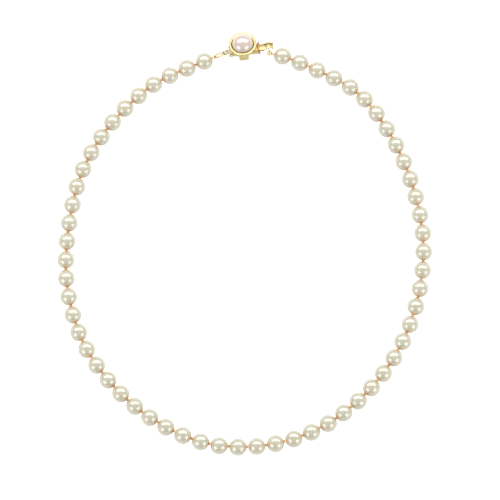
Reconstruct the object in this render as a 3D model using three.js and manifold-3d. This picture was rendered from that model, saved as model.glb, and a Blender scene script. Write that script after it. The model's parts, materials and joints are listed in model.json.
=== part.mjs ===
// A knotted strand of round pearls, closed by a cup-set pearl box clasp.
// Millimetres, +Z up. The strand lies flat on the plane z = 0, the clasp at its +Y side.
import * as THREE from 'three';
import { mergeVertices } from 'three/addons/utils/BufferGeometryUtils.js';
import Module from 'manifold-3d';

const wasm = await Module();
wasm.setup();

// ---------------------------------------------------------------- driving dimensions

// Strand
const PEARL_COUNT = 60;
const PEARL_RADIUS = 3.2;
const KNOT_RADIUS = 0.55;
const HOLE_RADIUS = 0.4;
const KNOT_STAND = 0.3;
const PEARL_SEGMENTS = 12;
const PEARL_ARC_STEPS = 5;

// Where the pearl centres run, in plan, from the clasp's left round the front to its right.
const ROUTE = [
  [-15.0, 68.4], [-33.4, 60.0], [-48.4, 46.3], [-60.0, 27.9], [-65.4, 6.0], [-66.0, -16.4],
  [-60.1, -37.6], [-47.6, -55.5], [-31.3, -68.6], [-12.7, -76.2], [7.4, -76.7], [26.4, -71.0],
  [43.3, -58.9], [56.1, -42.7], [64.2, -22.4], [66.6, -0.4], [62.9, 20.1], [55.0, 39.4],
  [42.7, 56.1], [25.7, 65.7], [14.2, 70.4],
];

// Small play that solder or a running fit needs between two clasp pieces
const SEAM = 0.15;

// Clasp, in its own frame: x along the tongue, z out of the setting, z = 0 under the strap
const CLASP_PLAN = [-0.46, 72.1];
const CLASP_YAW = THREE.MathUtils.degToRad(7);
const CLASP_TILT = THREE.MathUtils.degToRad(-22);

const STRAP_WIDTH = 3.4;
const STRAP_REACH = 3.9;
const STRAP_THICKNESS = 0.4;
const STRAP_TOP = 3.3;

const BOX_LEFT = -4.7;
const BOX_RIGHT = 5.3;
const BOX_WIDTH = 3.6;
const BOX_WALL = 0.3;
const TRAY_FLOOR = STRAP_THICKNESS + SEAM;
const TRAY_INNER_FLOOR = TRAY_FLOOR + 0.3;
const TRAY_TOP = 2.45;
const COVER_THICKNESS = 0.3;

const PLATE_THICKNESS = 0.5;
const PLATE_WIDTH = 3.9;
const PLATE_TOP = TRAY_TOP + SEAM + COVER_THICKNESS;
const SLOT_WIDTH = 3.0;
const SLOT_LOW = 0.95;
const SLOT_HIGH = 2.35;

const CUP_FOOT = PLATE_TOP + SEAM;
const CUP_FLOOR = CUP_FOOT + 0.4;
const CUP_WALL_RADIUS = 4.95;
const RIM_RADIUS = 5.1;
const RIM_HEIGHT = 6.0;
const CLASP_PEARL_RADIUS = 3.95;
const CLASP_PEARL_HEIGHT = 5.5;
const CLASP_PEARL_BACK = 3.85;
const PEG_RADIUS = 0.45;
const PEG_HOLE_RADIUS = 0.65;
const PEG_HOLE_TOP = 6.4;
const PEG_TOP = 6.2;

const TONGUE_WIDTH = 2.5;
const TONGUE_NOSE = -2.2;
const TONGUE_TOP = 2.2;
const TONGUE_THICKNESS = 0.3;
const TONGUE_END = 8.2;
const LEAF_THICKNESS = 0.25;
const LEAF_END = 8.0;
const LEAF_FREE_HEIGHT = 1.08;
const LEAF_ROOT = TONGUE_NOSE + 0.6;
const LEAF_ROOT_HEIGHT = 1.3;

const THUMB_WIDTH = 2.8;
const THUMB_START = TONGUE_END + SEAM;
const THUMB_CREST = 3.1;
const THUMB_RIBS_START = THUMB_START + 0.7;
const THUMB_FALL = 0.06;
const THUMB_LIP = 0.3;
const THUMB_RIDGES = 5;
const THUMB_RIDGE_PITCH = 0.46;
const THUMB_RIDGE_HEIGHT = 0.16;

// Rings and links: radius of the ring's centre line, and of its wire
const LUG_RING = { radius: 0.65, wire: 0.2 };
const JUMP_RING = { radius: 0.95, wire: 0.2 };
const END_RING = { radius: 0.75, wire: 0.25 };
const THREAD_LOOP = { radius: 0.7, wire: 0.2 };
const OVAL_LINK = { length: 3.9, width: 2.0, wire: 0.3 };
const LUG_CENTRE = new THREE.Vector3(-5.85, 0, 1.65);
const END_RING_CENTRE = new THREE.Vector3(9.6, -2.55, 1.2);
const JUMP_RING_AT = 0.9;
const OVAL_NEAR_END_AT = 1.27;
const RIGHT_LOOP_AT = 0.64;
const WIRE_CLEARANCE = 0.12;

// How far each ring's plane leans from level, about the line that it is pulled along
const JUMP_RING_LEAN = THREE.MathUtils.degToRad(-50);
const OVAL_LINK_LEAN = THREE.MathUtils.degToRad(50);
const LEFT_LOOP_LEAN = THREE.MathUtils.degToRad(-40);
const RIGHT_LOOP_LEAN = THREE.MathUtils.degToRad(60);

// ---------------------------------------------------------------- materials

function nacre(color) {
  return new THREE.MeshStandardMaterial({ color, roughness: 0.22, metalness: 0.0 });
}

function gold(color) {
  return new THREE.MeshStandardMaterial({ color, roughness: 0.16, metalness: 1.0 });
}

function silk(color) {
  return new THREE.MeshStandardMaterial({ color, roughness: 0.7, metalness: 0.0 });
}

const CREAM = 0xeeebdf;
const ROSE_WHITE = 0xeee2dc;
const YELLOW_GOLD = 0xe8d27c;
const RED_GOLD = 0xd9913a;
const PEACH = 0xe9b787;

// ---------------------------------------------------------------- solids

function toSolid(geometry) {
  const bare = geometry.clone();
  bare.deleteAttribute('normal');
  bare.deleteAttribute('uv');
  const merged = mergeVertices(bare, 1e-4);
  const mesh = new wasm.Mesh({
    numProp: 3,
    vertProperties: new Float32Array(merged.attributes.position.array),
    triVerts: new Uint32Array(merged.index.array),
  });
  return new wasm.Manifold(mesh);
}

function toGeometry(solid) {
  const mesh = solid.getMesh();
  const geometry = new THREE.BufferGeometry();
  geometry.setAttribute('position', new THREE.BufferAttribute(mesh.vertProperties, 3));
  geometry.setIndex(new THREE.BufferAttribute(mesh.triVerts, 1));
  geometry.computeVertexNormals();
  return geometry;
}

// A block given by its lowest and highest corners
function block(low, high) {
  const size = high.map((value, axis) => value - low[axis]);
  const geometry = new THREE.BoxGeometry(...size);
  geometry.translate(...low.map((value, axis) => value + size[axis] / 2));
  return geometry;
}

// A turned piece about Z: the profile is [radius, height] from its lowest point on the axis up
function turned(profile, segments) {
  const points = profile.map(([radius, height]) => new THREE.Vector2(radius, height));
  const geometry = new THREE.LatheGeometry(points, segments);
  geometry.rotateX(Math.PI / 2);
  return geometry;
}

// A side view in x and z, given width along y and centred on y = 0
function slab(outline, width) {
  const shape = new THREE.Shape(outline.map(([x, z]) => new THREE.Vector2(x, z)));
  const geometry = new THREE.ExtrudeGeometry(shape, { depth: width, bevelEnabled: false });
  geometry.rotateX(Math.PI / 2);
  geometry.translate(0, width / 2, 0);
  return geometry;
}

// A closed wire ring in the XY plane
function ring({ radius, wire }, segments = 16) {
  return new THREE.TorusGeometry(radius, wire, 8, segments);
}

// A closed oval of wire in the XY plane, its long side along x
function ovalRing({ length, width, wire }) {
  const bend = width / 2;
  const straight = length / 2 - bend;
  const steps = 8;
  const centres = [];
  for (const side of [1, -1]) {
    for (let step = 0; step <= steps; step += 1) {
      const angle = side * Math.PI / 2 - Math.PI * step / steps;
      const x = side * straight + bend * Math.cos(angle);
      centres.push(new THREE.Vector3(x, bend * Math.sin(angle), 0));
    }
  }
  const route = new THREE.CatmullRomCurve3(centres, true, 'centripetal');
  const section = new THREE.Shape().absarc(0, 0, wire, 0, 2 * Math.PI);
  const geometry = new THREE.ExtrudeGeometry(section, {
    steps: 24, curveSegments: 4, bevelEnabled: false, extrudePath: route,
  });
  return geometry;
}

function arc(centre, radius, from, to, steps) {
  return Array.from({ length: steps + 1 }, (_, step) => {
    const angle = from + (to - from) * step / steps;
    return [radius * Math.cos(angle), centre + radius * Math.sin(angle)];
  });
}

// ---------------------------------------------------------------- the strand

function strandCentres() {
  const points = ROUTE.map(([x, y]) => new THREE.Vector3(x, y, PEARL_RADIUS));
  const route = new THREE.CatmullRomCurve3(points, false, 'centripetal');
  route.arcLengthDivisions = 2000;
  return route.getSpacedPoints(PEARL_COUNT - 1);
}

// Two pearls and the silk knot that holds them, with the next knot proud of the second pearl
function pearlPair(pitch, hasEndKnot) {
  const holeAngle = Math.acos(HOLE_RADIUS / PEARL_RADIUS);
  const top = hasEndKnot
    ? [[HOLE_RADIUS, pitch / 2 + PEARL_RADIUS + KNOT_STAND], [0, pitch / 2 + PEARL_RADIUS + KNOT_STAND]]
    : [[0, pitch / 2 + PEARL_RADIUS]];
  const profile = [
    [0, -pitch / 2 - PEARL_RADIUS],
    ...arc(-pitch / 2, PEARL_RADIUS, -Math.PI / 2, holeAngle, PEARL_ARC_STEPS).slice(1),
    [KNOT_RADIUS, 0],
    ...arc(pitch / 2, PEARL_RADIUS, -holeAngle, holeAngle, PEARL_ARC_STEPS),
    ...top,
  ];
  const geometry = turned(profile, PEARL_SEGMENTS);
  geometry.rotateY(Math.PI / 2);
  return geometry;
}

function buildStrand(centres) {
  const strand = new THREE.Group();
  for (let index = 0; index < PEARL_COUNT; index += 2) {
    const [first, second] = [centres[index], centres[index + 1]];
    const isLast = index + 2 === PEARL_COUNT;
    const mesh = new THREE.Mesh(pearlPair(first.distanceTo(second), !isLast), nacre(CREAM));
    mesh.name = `pearl_pair_${String(index / 2 + 1).padStart(2, '0')}`;
    mesh.position.copy(first).add(second).divideScalar(2);
    mesh.rotation.z = Math.atan2(second.y - first.y, second.x - first.x);
    strand.add(mesh);
  }
  return strand;
}

// ---------------------------------------------------------------- the clasp

// The U-shaped strap under the box, whose two uprights carry the cup
function supportStrap() {
  const inner = STRAP_REACH - STRAP_THICKNESS;
  const half = STRAP_WIDTH / 2;
  const outer = toSolid(block([-half, -STRAP_REACH, 0], [half, STRAP_REACH, STRAP_TOP]));
  const gap = toSolid(block([-STRAP_WIDTH, -inner, STRAP_THICKNESS], [STRAP_WIDTH, inner, STRAP_TOP + 1]));
  return toGeometry(outer.subtract(gap));
}

// The tongue box's floor and side walls, open at the top and at both ends
function boxTray() {
  const half = BOX_WIDTH / 2;
  const inner = half - BOX_WALL;
  const outer = toSolid(block([BOX_LEFT, -half, TRAY_FLOOR], [BOX_RIGHT, half, TRAY_TOP]));
  const hollow = toSolid(block(
    [BOX_LEFT - 1, -inner, TRAY_INNER_FLOOR],
    [BOX_RIGHT + 1, inner, TRAY_TOP + 1],
  ));
  return toGeometry(outer.subtract(hollow));
}

function boxCover() {
  const half = BOX_WIDTH / 2;
  return block([BOX_LEFT, -half, TRAY_TOP + SEAM], [BOX_RIGHT, half, PLATE_TOP]);
}

// The end plate that the tongue enters through
function slotPlate() {
  const low = BOX_RIGHT + SEAM;
  const plate = toSolid(block(
    [low, -PLATE_WIDTH / 2, TRAY_FLOOR - SEAM],
    [low + PLATE_THICKNESS, PLATE_WIDTH / 2, PLATE_TOP],
  ));
  const slot = toSolid(block(
    [low - 1, -SLOT_WIDTH / 2, SLOT_LOW],
    [low + PLATE_THICKNESS + 1, SLOT_WIDTH / 2, SLOT_HIGH],
  ));
  return toGeometry(plate.subtract(slot));
}

// The blind end plate, with the eye that the jump ring passes through
function lugPlate() {
  const high = BOX_LEFT - SEAM;
  const plate = toSolid(block(
    [high - PLATE_THICKNESS, -PLATE_WIDTH / 2, TRAY_FLOOR - SEAM],
    [high, PLATE_WIDTH / 2, PLATE_TOP],
  ));
  const eye = ring(LUG_RING);
  eye.translate(LUG_CENTRE.x, LUG_CENTRE.y, LUG_CENTRE.z);
  return toGeometry(plate.add(toSolid(eye)));
}

// The polished bowl, with a rolled rim outside and a straight wall round the pearl inside
function settingCup() {
  const inner = CLASP_PEARL_RADIUS + SEAM;
  return turned([
    [0, CUP_FOOT],
    [2.9, CUP_FOOT],
    [4.1, CUP_FOOT + 0.45],
    [4.7, CUP_FOOT + 1.2],
    [CUP_WALL_RADIUS, CUP_FOOT + 2.1],
    [RIM_RADIUS, RIM_HEIGHT - 0.3],
    [RIM_RADIUS - 0.2, RIM_HEIGHT],
    [inner + 0.1, RIM_HEIGHT],
    [inner, RIM_HEIGHT - 0.2],
    [inner, CLASP_PEARL_HEIGHT - 1],
    [3.8, CLASP_PEARL_BACK - SEAM],
    [3.1, CUP_FLOOR],
    [0, CUP_FLOOR],
  ], 32);
}

// The post that the setting pearl is glued on
function pearlPeg() {
  const foot = CUP_FLOOR + SEAM;
  return turned([[0, foot], [PEG_RADIUS, foot], [PEG_RADIUS, PEG_TOP], [0, PEG_TOP]], 12);
}

// A three-quarter pearl, flat behind and drilled for the peg
function settingPearl() {
  const backAngle = Math.asin((CLASP_PEARL_BACK - CLASP_PEARL_HEIGHT) / CLASP_PEARL_RADIUS);
  return turned([
    [0, PEG_HOLE_TOP],
    [PEG_HOLE_RADIUS, PEG_HOLE_TOP],
    [PEG_HOLE_RADIUS, CLASP_PEARL_BACK],
    ...arc(CLASP_PEARL_HEIGHT, CLASP_PEARL_RADIUS, backAngle, Math.PI / 2, 9),
  ], 28);
}

// The fixed upper leaf of the tongue, with its rounded nose turned under
function tonguePlate() {
  const low = TONGUE_TOP - TONGUE_THICKNESS;
  return slab([
    [TONGUE_END, low],
    [TONGUE_END, TONGUE_TOP],
    [TONGUE_NOSE + 0.2, TONGUE_TOP],
    [TONGUE_NOSE, TONGUE_TOP - 0.2],
    [TONGUE_NOSE, LEAF_ROOT_HEIGHT + 0.1],
    [TONGUE_NOSE + 0.15, LEAF_ROOT_HEIGHT],
    [TONGUE_NOSE + 0.3, LEAF_ROOT_HEIGHT],
    [TONGUE_NOSE + 0.3, low],
  ], TONGUE_WIDTH);
}

// The lower leaf, sprung away from the upper one and pressed towards it by the thumb
function springLeaf() {
  return slab([
    [LEAF_ROOT, LEAF_ROOT_HEIGHT],
    [LEAF_END - 0.1, LEAF_FREE_HEIGHT],
    [LEAF_END, LEAF_FREE_HEIGHT + 0.1],
    [LEAF_END, LEAF_FREE_HEIGHT + LEAF_THICKNESS],
    [LEAF_ROOT, LEAF_ROOT_HEIGHT + LEAF_THICKNESS],
  ], TONGUE_WIDTH - 0.3);
}

// The arched end that the thumb presses, ribbed across for grip
function thumbPiece() {
  const low = TONGUE_TOP - TONGUE_THICKNESS;
  const outline = [
    [THUMB_START, low],
    [THUMB_START, TONGUE_TOP],
    [THUMB_START + 0.5, THUMB_CREST - 0.2],
  ];
  for (let ridge = 0; ridge < THUMB_RIDGES; ridge += 1) {
    const x = THUMB_RIBS_START + ridge * THUMB_RIDGE_PITCH;
    const middle = x + THUMB_RIDGE_PITCH / 2;
    const top = THUMB_CREST - THUMB_FALL * ridge * ridge;
    const valley = top - THUMB_RIDGE_HEIGHT;
    outline.push([x, top], [middle, top], [middle, valley], [x + THUMB_RIDGE_PITCH, valley]);
  }
  const end = THUMB_RIBS_START + THUMB_RIDGES * THUMB_RIDGE_PITCH;
  outline.push([end, low - THUMB_LIP], [end - 0.5, low - THUMB_LIP]);
  return slab(outline, THUMB_WIDTH);
}

function endRing() {
  const geometry = ring(END_RING);
  geometry.translate(END_RING_CENTRE.x, END_RING_CENTRE.y, END_RING_CENTRE.z);
  return geometry;
}

function buildClasp() {
  const pieces = {
    clasp_strap: [supportStrap(), YELLOW_GOLD],
    clasp_tray: [boxTray(), YELLOW_GOLD],
    clasp_cover: [boxCover(), YELLOW_GOLD],
    clasp_slot_plate: [slotPlate(), RED_GOLD],
    clasp_lug_plate: [lugPlate(), YELLOW_GOLD],
    clasp_cup: [settingCup(), YELLOW_GOLD],
    clasp_peg: [pearlPeg(), YELLOW_GOLD],
    tongue_plate: [tonguePlate(), YELLOW_GOLD],
    tongue_spring_leaf: [springLeaf(), RED_GOLD],
    tongue_thumb_piece: [thumbPiece(), YELLOW_GOLD],
    tongue_end_ring: [endRing(), YELLOW_GOLD],
  };
  const clasp = new THREE.Group();
  for (const [name, [geometry, color]] of Object.entries(pieces)) {
    const mesh = new THREE.Mesh(geometry, gold(color));
    mesh.name = name;
    clasp.add(mesh);
  }
  const pearl = new THREE.Mesh(settingPearl(), nacre(ROSE_WHITE));
  pearl.name = 'clasp_pearl';
  clasp.add(pearl);
  clasp.rotation.x = CLASP_TILT;

  // The tilted strap stands on its far lower edge
  const turnedClasp = new THREE.Group();
  turnedClasp.add(clasp);
  turnedClasp.rotation.z = CLASP_YAW;
  turnedClasp.position.set(...CLASP_PLAN, STRAP_REACH * Math.sin(-CLASP_TILT));
  turnedClasp.updateMatrixWorld(true);
  return { group: turnedClasp, frame: clasp };
}

// ---------------------------------------------------------------- links between clasp and strand

// Puts a flat ring's x axis along a pull, leaning its plane from level by an angle about it
function alongPull(mesh, centre, pull, lean) {
  const side = new THREE.Vector3(0, 0, 1).cross(pull).normalize();
  const up = pull.clone().cross(side);
  mesh.quaternion.setFromRotationMatrix(new THREE.Matrix4().makeBasis(pull, side, up));
  mesh.rotateX(lean);
  mesh.position.copy(centre);
}

function buildLinks(claspFrame, firstPearl, lastPearl) {
  const links = new THREE.Group();
  const add = (name, geometry, material, centre, pull, lean) => {
    const mesh = new THREE.Mesh(geometry, material);
    mesh.name = name;
    alongPull(mesh, centre, pull, lean);
    links.add(mesh);
  };

  const lug = claspFrame.localToWorld(LUG_CENTRE.clone());
  const leftPull = firstPearl.clone().sub(lug).normalize();
  const at = (distance) => lug.clone().addScaledVector(leftPull, distance);
  const ovalFarEnd = OVAL_NEAR_END_AT + OVAL_LINK.length;
  const loopNearEnd = ovalFarEnd - OVAL_LINK.wire - THREAD_LOOP.wire - WIRE_CLEARANCE;
  const ovalCentre = at(OVAL_NEAR_END_AT + OVAL_LINK.length / 2);
  const leftLoopCentre = at(loopNearEnd + THREAD_LOOP.radius);
  add('jump_ring', ring(JUMP_RING), gold(YELLOW_GOLD), at(JUMP_RING_AT), leftPull, JUMP_RING_LEAN);
  add('oval_link', ovalRing(OVAL_LINK), gold(YELLOW_GOLD), ovalCentre, leftPull, OVAL_LINK_LEAN);
  add('thread_loop_left', ring(THREAD_LOOP), silk(PEACH), leftLoopCentre, leftPull, LEFT_LOOP_LEAN);

  const eye = claspFrame.localToWorld(END_RING_CENTRE.clone());
  const rightPull = lastPearl.clone().sub(eye).normalize();
  const rightLoopCentre = eye.clone().addScaledVector(rightPull, RIGHT_LOOP_AT);
  add('thread_loop_right', ring(THREAD_LOOP), silk(PEACH), rightLoopCentre, rightPull, RIGHT_LOOP_LEAN);
  return links;
}

// ---------------------------------------------------------------- assembly

const centres = strandCentres();
const clasp = buildClasp();
const links = buildLinks(clasp.frame, centres[0], centres[PEARL_COUNT - 1]);

const necklace = new THREE.Group();
necklace.add(buildStrand(centres), clasp.group, links);

// The origin goes under the middle of the whole necklace, on the surface it lies on
const bounds = new THREE.Box3().setFromObject(necklace, true);
const middle = bounds.getCenter(new THREE.Vector3());
necklace.position.set(-middle.x, -middle.y, -bounds.min.z);
necklace.updateMatrixWorld(true);

export default necklace;
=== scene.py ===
"""A knotted pearl necklace with a cup-set box clasp: its finished look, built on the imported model.

Metres, +Z up, the strand lying on z = 0. Clasp pieces are drawn in millimetres in the clasp's own
frame, with x along the tongue, z out of the cup and z = 0 under the strap, and then put in place.
"""
import json
import math

import bmesh
import bpy
import numpy as np
from mathutils import Matrix, Vector

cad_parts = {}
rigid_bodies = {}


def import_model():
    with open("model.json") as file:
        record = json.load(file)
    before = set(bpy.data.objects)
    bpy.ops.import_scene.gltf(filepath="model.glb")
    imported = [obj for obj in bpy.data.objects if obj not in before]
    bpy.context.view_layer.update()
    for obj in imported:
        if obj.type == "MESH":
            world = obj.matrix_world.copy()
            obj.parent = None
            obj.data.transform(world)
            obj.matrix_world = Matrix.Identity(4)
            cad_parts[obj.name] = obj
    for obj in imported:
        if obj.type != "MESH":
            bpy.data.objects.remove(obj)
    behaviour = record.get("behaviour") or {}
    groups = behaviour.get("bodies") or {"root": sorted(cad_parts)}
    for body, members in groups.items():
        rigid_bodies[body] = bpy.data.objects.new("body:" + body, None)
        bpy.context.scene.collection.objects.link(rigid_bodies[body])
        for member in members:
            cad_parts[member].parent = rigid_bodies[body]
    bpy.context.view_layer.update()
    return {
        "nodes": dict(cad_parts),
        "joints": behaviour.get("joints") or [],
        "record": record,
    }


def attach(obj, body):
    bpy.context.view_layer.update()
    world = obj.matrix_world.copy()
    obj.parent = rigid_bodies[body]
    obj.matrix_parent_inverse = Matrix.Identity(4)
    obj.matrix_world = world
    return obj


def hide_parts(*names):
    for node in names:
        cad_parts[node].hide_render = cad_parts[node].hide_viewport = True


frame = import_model()
MM = 0.001
scene = bpy.context.scene
record = frame["record"]
joints = {joint["name"]: joint for joint in frame["joints"]}

# ---------------------------------------------------------------- node trees


class Nodes:
    """Adds nodes to one tree.

    An input is given by its name, with _ for a space, or by its place, and takes a value or an output.
    """

    def __init__(self, tree):
        self.tree = tree

    def add(self, kind, settings=None, **inputs):
        node = self.tree.nodes.new(kind)
        for key, value in (settings or {}).items():
            setattr(node, key, value)
        for key, value in inputs.items():
            self.put(node, key.replace("_", " "), value)
        return node

    def put(self, node, key, value):
        socket = node.inputs[int(key)] if key.isdigit() else node.inputs[key]
        if isinstance(value, bpy.types.NodeSocket):
            self.tree.links.new(value, socket)
        else:
            socket.default_value = value

    def noise(self, vector, scale, detail=3.0, roughness=0.5, distortion=0.0):
        return self.add("ShaderNodeTexNoise", Vector=vector, Scale=scale, Detail=detail,
                        Roughness=roughness, Distortion=distortion).outputs["Fac"]

    def spread(self, value, low, high, to_low=0.0, to_high=1.0):
        """Maps low..high of a value to another range, clamped."""
        node = self.add("ShaderNodeMapRange", Value=value, From_Min=low, From_Max=high,
                        To_Min=to_low, To_Max=to_high)
        return node.outputs["Result"]

    def mix(self, share, first, second):
        """Blends two colours."""
        node = self.add("ShaderNodeMix", {"data_type": "RGBA"}, Factor=share, A=first, B=second)
        return node.outputs["Result"]

    def math(self, operation, *values):
        node = self.add("ShaderNodeMath", {"operation": operation})
        for k, value in enumerate(values):
            self.put(node, str(k), value)
        return node.outputs[0]

    def vector_math(self, operation, *vectors, **inputs):
        node = self.add("ShaderNodeVectorMath", {"operation": operation}, **inputs)
        for k, vector in enumerate(vectors):
            self.put(node, str(k), vector)
        return node.outputs[0]


# ---------------------------------------------------------------- camera and light

CAMERA_ELEVATION = math.radians(80)
CAMERA_DISTANCE = 3.1
CAMERA_LENS = 600
VIEW_CENTRE = Vector((1.94, -2.47, 3.15)) * MM

FLOOR_HALF = 4.0
FLOOR_COLOR = (0.66, 0.655, 0.63, 1)
FLOOR_GLOW = 0.62
FLOOR_GLOW_UNSEEN = 0.3

TO_CAMERA = Vector((0, -math.cos(CAMERA_ELEVATION), math.sin(CAMERA_ELEVATION)))
VIEW_UP = Vector((0, math.sin(CAMERA_ELEVATION), math.cos(CAMERA_ELEVATION)))
VIEW_RIGHT = Vector((1, 0, 0))


def make_camera():
    data = bpy.data.cameras.new("camera")
    data.lens = CAMERA_LENS
    data.clip_start = 0.01
    camera = bpy.data.objects.new("camera", data)
    camera.location = VIEW_CENTRE + TO_CAMERA * CAMERA_DISTANCE
    camera.rotation_euler = TO_CAMERA.to_track_quat("Z", "Y").to_euler()
    scene.collection.objects.link(camera)
    scene.camera = camera


def soft_light(name, off_axis, around, distance, size, radiance, color=(1, 1, 1)):
    """A rectangular lamp aimed at the strand, at one angle off the camera's line and one round it."""
    a, b = math.radians(off_axis), math.radians(around)
    away = TO_CAMERA * math.cos(a) + (VIEW_UP * math.cos(b) + VIEW_RIGHT * math.sin(b)) * math.sin(a)
    data = bpy.data.lights.new(name, "AREA")
    data.shape = "RECTANGLE"
    data.size, data.size_y = size
    data.energy = radiance * math.pi * size[0] * size[1]
    data.color = color
    lamp = bpy.data.objects.new(name, data)
    lamp.location = away * distance
    lamp.rotation_euler = away.to_track_quat("Z", "Y").to_euler()
    scene.collection.objects.link(lamp)


def make_world(fill, seen):
    """Even fill light, with a paler tone where the world itself is seen behind the floor's edge."""
    world = bpy.data.worlds.new("studio")
    world.use_nodes = True
    n = Nodes(world.node_tree)
    looked_at = n.add("ShaderNodeLightPath").outputs["Is Camera Ray"]
    tone = n.mix(looked_at, (fill, fill, fill * 1.01, 1), (seen, seen, seen, 1))
    n.put(world.node_tree.nodes["Background"], "Color", tone)
    scene.world = world


def make_floor():
    """A pale table, lit a little by itself, more so where the camera sees it."""
    half = FLOOR_HALF
    mesh = bpy.data.meshes.new("floor")
    corners = [(-half, -half, 0), (half, -half, 0), (half, half, 0), (-half, half, 0)]
    mesh.from_pydata(corners, [], [(0, 1, 2, 3)])
    floor = bpy.data.objects.new("floor", mesh)
    scene.collection.objects.link(floor)
    material = bpy.data.materials.new("pale table")
    material.use_nodes = True
    tree = material.node_tree
    shader = tree.nodes["Principled BSDF"]
    n = Nodes(tree)
    n.put(shader, "Base Color", FLOOR_COLOR)
    n.put(shader, "Roughness", 0.7)
    seen = n.add("ShaderNodeLightPath").outputs["Is Camera Ray"]
    n.put(shader, "Emission Color", n.spread(seen, 0.0, 1.0, FLOOR_GLOW_UNSEEN, 1.0))
    n.put(shader, "Emission Strength", FLOOR_GLOW)
    mesh.materials.append(material)


make_camera()
scene.view_settings.view_transform = "Standard"
make_world(fill=0.55, seen=1.0)
make_floor()
soft_light("window over the clasp", off_axis=48, around=0, distance=0.9, size=(2.5, 0.62), radiance=3.6,
           color=(0.97, 0.985, 1.0))
for name, around in (("low lamp left", 234), ("low lamp right", 126)):
    soft_light(name, off_axis=60, around=around, distance=0.8, size=(0.52, 0.5), radiance=3.0)

# ---------------------------------------------------------------- finishes


def shader_group(name, inputs, outputs):
    """A new shader group with named sockets, its node adder, its given values and its output node."""
    tree = bpy.data.node_groups.new(name, "ShaderNodeTree")
    for label, kind, value in inputs:
        socket = tree.interface.new_socket(label, in_out="INPUT", socket_type=kind)
        if value is not None:
            socket.default_value = value
    for label, kind in outputs:
        tree.interface.new_socket(label, in_out="OUTPUT", socket_type=kind)
    n = Nodes(tree)
    return tree, n, tree.nodes.new("NodeGroupInput").outputs, tree.nodes.new("NodeGroupOutput")


def nacre_group():
    """Layered nacre: drifting tint, faint growth lines, tiny pits, and a painted warm peach glow round
    the holes.
    """
    tree, n, given, out = shader_group(
        "nacre layers",
        [("Place", "NodeSocketVector", None), ("Body", "NodeSocketColor", (0.7, 0.7, 0.6, 1)),
         ("Blush", "NodeSocketColor", (0.8, 0.7, 0.6, 1)),
         ("Shade", "NodeSocketColor", (0.5, 0.5, 0.4, 1)),
         ("Stain", "NodeSocketColor", (0.8, 0.5, 0.3, 1)), ("Hole", "NodeSocketFloat", 0.0),
         ("Gloss", "NodeSocketFloat", 0.16)],
        [("Color", "NodeSocketColor"), ("Roughness", "NodeSocketFloat"), ("Height", "NodeSocketFloat")])
    place = given["Place"]
    cloud_share, growth_share = 0.35, 0.07
    growth_depth, fine_depth, pit_depth = 0.10, 0.10, 0.5
    drift = n.spread(n.noise(place, scale=150, detail=2, roughness=0.5, distortion=0.6), 0.35, 0.68)
    cloud = n.spread(n.noise(place, scale=520, detail=4, roughness=0.6, distortion=1.2), 0.42, 0.7)
    color = n.mix(drift, given["Body"], given["Blush"])
    color = n.mix(n.math("MULTIPLY", cloud, cloud_share), color, given["Shade"])
    lines = n.add("ShaderNodeTexWave", {"wave_type": "RINGS", "rings_direction": "SPHERICAL"},
                  Vector=place, Scale=420.0, Distortion=9.0, Detail=3.0, Detail_Scale=1.4)
    growth = lines.outputs["Fac"]
    color = n.mix(n.math("MULTIPLY", n.spread(growth, 0.3, 0.9), growth_share), color, given["Shade"])
    # Painted light: a warm peach glow mixed into the colour round each drill hole, by the stored hole
    # nearness
    color = n.mix(given["Hole"], color, given["Stain"])
    pits = n.add("ShaderNodeTexVoronoi", {"feature": "F1"}, Vector=place, Scale=900.0, Randomness=1.0)
    pit = n.spread(pits.outputs["Distance"], 0.0, 0.13, 1.0, 0.0)
    fine = n.noise(place, scale=4200, detail=3, roughness=0.6)
    soft = n.spread(n.noise(place, scale=700, detail=3, roughness=0.6), 0.3, 0.7, -0.03, 0.05)
    rough = n.math("ADD", given["Gloss"], n.math("ADD", soft, n.math("MULTIPLY", fine, 0.03)))
    grain = n.math("MULTIPLY", fine, fine_depth)
    height = n.math("ADD", n.math("MULTIPLY", growth, growth_depth), grain)
    height = n.math("SUBTRACT", height, n.math("MULTIPLY", pit, pit_depth))
    n.put(out, "Color", color)
    n.put(out, "Roughness", rough)
    n.put(out, "Height", height)
    return tree


def polish_group():
    """Hand-polished gold: faint hairlines both ways, a worn haze, warmer patches, and shallow dents."""
    tree, n, given, out = shader_group(
        "polished gold wear",
        [("Place", "NodeSocketVector", None), ("Metal", "NodeSocketColor", (0.8, 0.6, 0.3, 1)),
         ("Warm", "NodeSocketColor", (0.7, 0.4, 0.1, 1)), ("Polish", "NodeSocketFloat", 0.1),
         ("Wear", "NodeSocketFloat", 0.5)],
        [("Color", "NodeSocketColor"), ("Roughness", "NodeSocketFloat"), ("Height", "NodeSocketFloat")])
    place = given["Place"]
    warm_share, line_haze, patch_haze = 0.6, 0.10, 0.08
    dent_depth, line_depth = 0.8, 0.12
    patch = n.spread(n.noise(place, scale=420, detail=4, roughness=0.6, distortion=0.8), 0.4, 0.72)
    hairlines = []
    for stretch in ((1.0, 14.0, 9.0), (11.0, 1.0, 7.0)):
        stretched = n.vector_math("MULTIPLY", place, stretch)
        hairlines.append(n.spread(n.noise(stretched, scale=900, detail=2, roughness=0.7), 0.60, 0.72))
    lines = n.math("MAXIMUM", *hairlines)
    color = n.mix(n.math("MULTIPLY", patch, warm_share), given["Metal"], given["Warm"])
    haze = n.math("ADD", n.math("MULTIPLY", lines, line_haze), n.math("MULTIPLY", patch, patch_haze))
    worn = n.math("MULTIPLY", given["Wear"], haze)
    wave = n.noise(place, scale=650, detail=2, roughness=0.5)
    scratches = n.math("MULTIPLY", lines, line_depth)
    height = n.math("SUBTRACT", n.math("MULTIPLY", wave, dent_depth), scratches)
    n.put(out, "Color", color)
    n.put(out, "Roughness", n.math("ADD", given["Polish"], worn))
    n.put(out, "Height", height)
    return tree


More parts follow.
